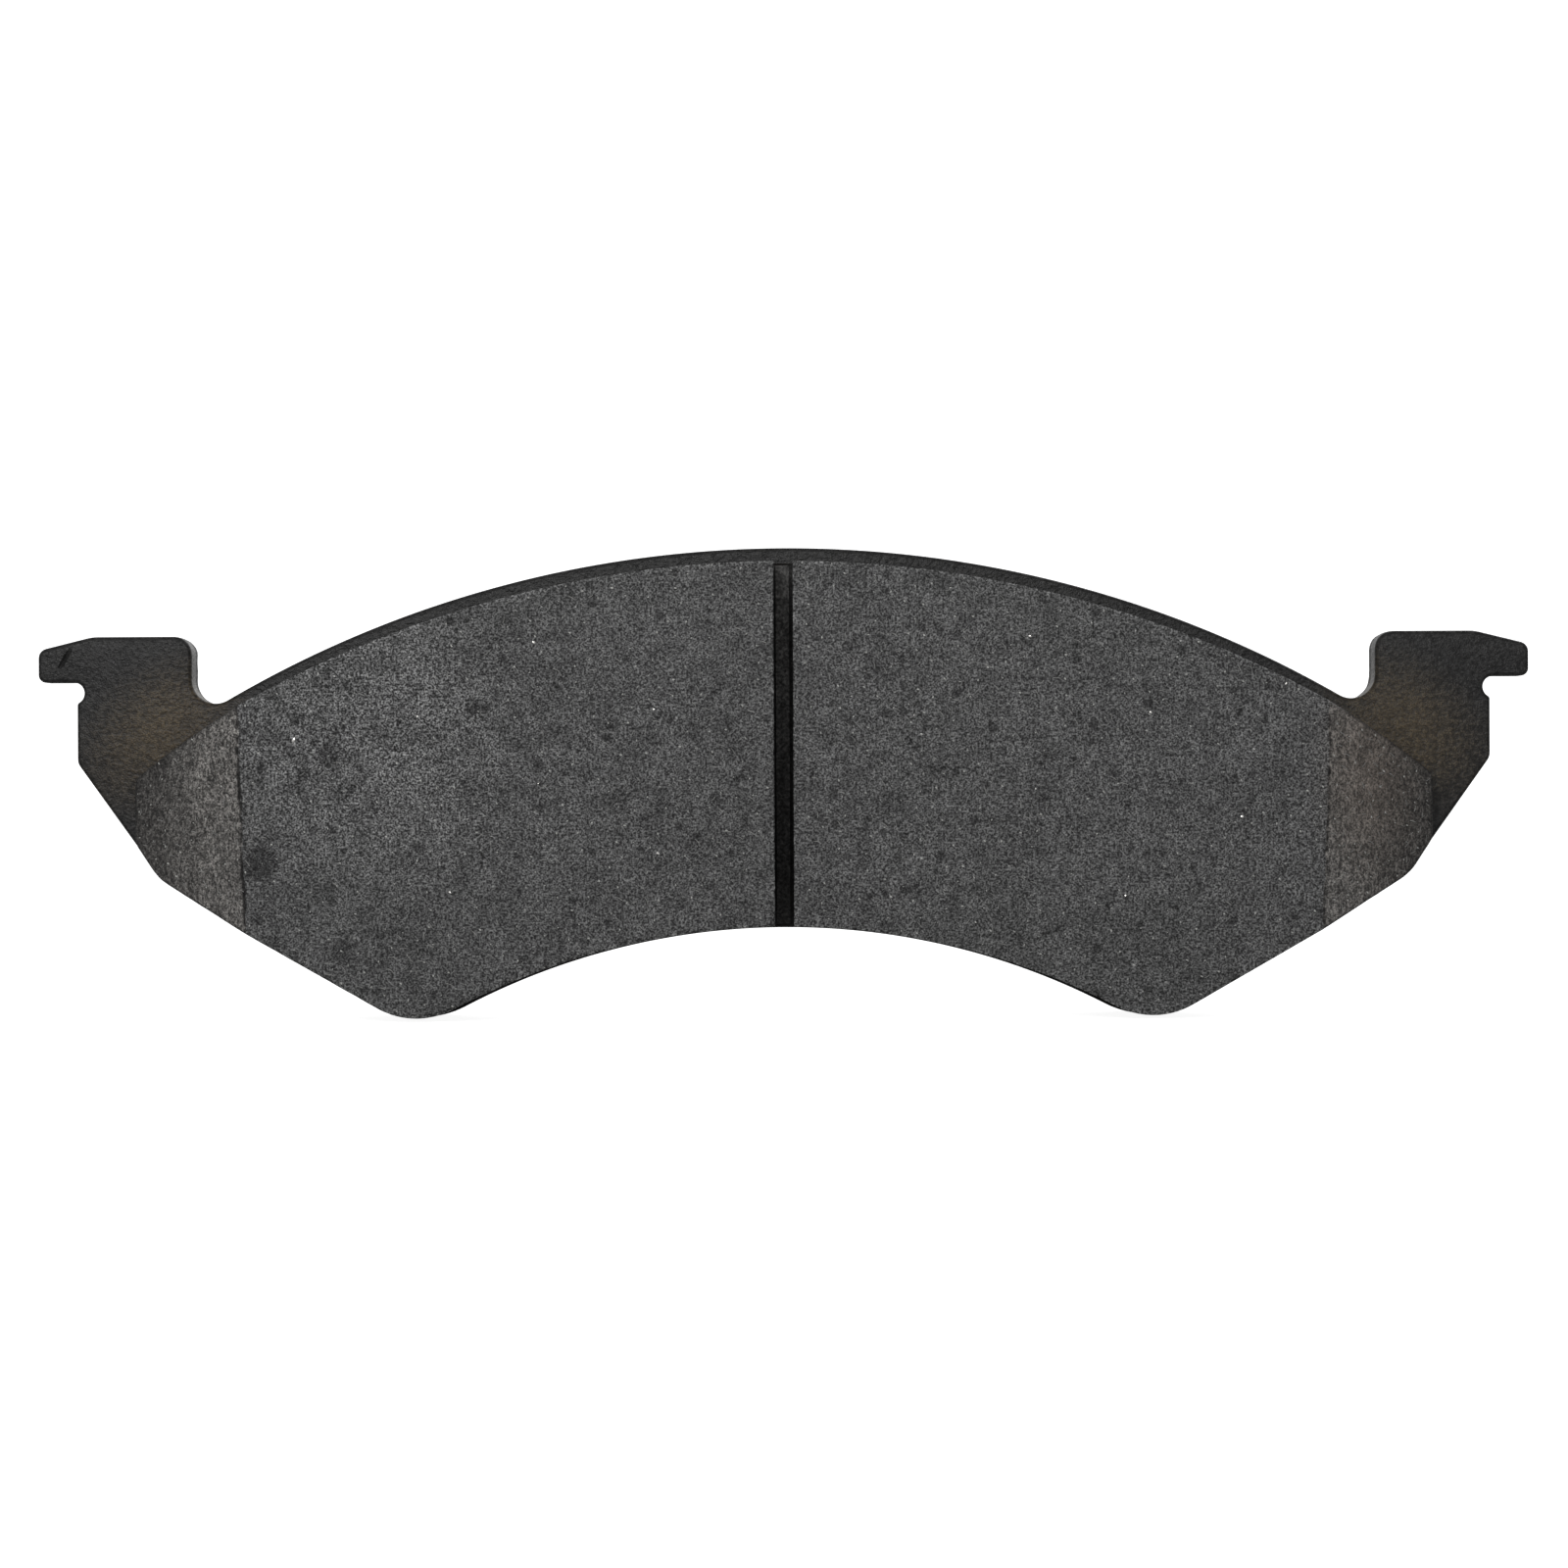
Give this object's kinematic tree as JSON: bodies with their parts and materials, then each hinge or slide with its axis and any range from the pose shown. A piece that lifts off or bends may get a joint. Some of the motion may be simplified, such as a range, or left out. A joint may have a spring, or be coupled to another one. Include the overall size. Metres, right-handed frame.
{
  "type": "disc brake pad",
  "caption": "Disc brake pad with hooked hammer-head backing plate, slotted and chamfered friction lining, and a bonded noise shim on its back.",
  "frame": {"origin": "middle of the shim's back face, on the effective radius where the caliper piston pushes", "axes": "+X along the pad, +Y out of the back face towards the piston, +Z radially outward from the disc's axis, which lies 102.28 mm below the origin and parallel to Y"},
  "size_m": [0.167, 0.0168, 0.0524],
  "materials": {
    "plate_powder_coat": "satin black powder coat over stamped steel",
    "bonding_adhesive": "cured brown phenolic adhesive",
    "underlayer": "matte dark moulded resin and mineral",
    "friction_material": "matte ground semi-metallic friction material with pale chips and dark graphite",
    "shim_adhesive": "pressure-sensitive adhesive",
    "shim_rubber": "matte nitrile rubber coating",
    "shim_steel": "cold-rolled steel, sheared edges"
  },
  "bodies": {
    "root": {"backing_plate": "plate_powder_coat", "bond_film": "bonding_adhesive", "underlayer": "underlayer", "friction_block_left": "friction_material", "friction_block_right": "friction_material", "shim_adhesive": "shim_adhesive", "shim_inner_rubber": "shim_rubber", "shim_steel": "shim_steel", "shim_outer_rubber": "shim_rubber"}
  },
  "joints": []
}
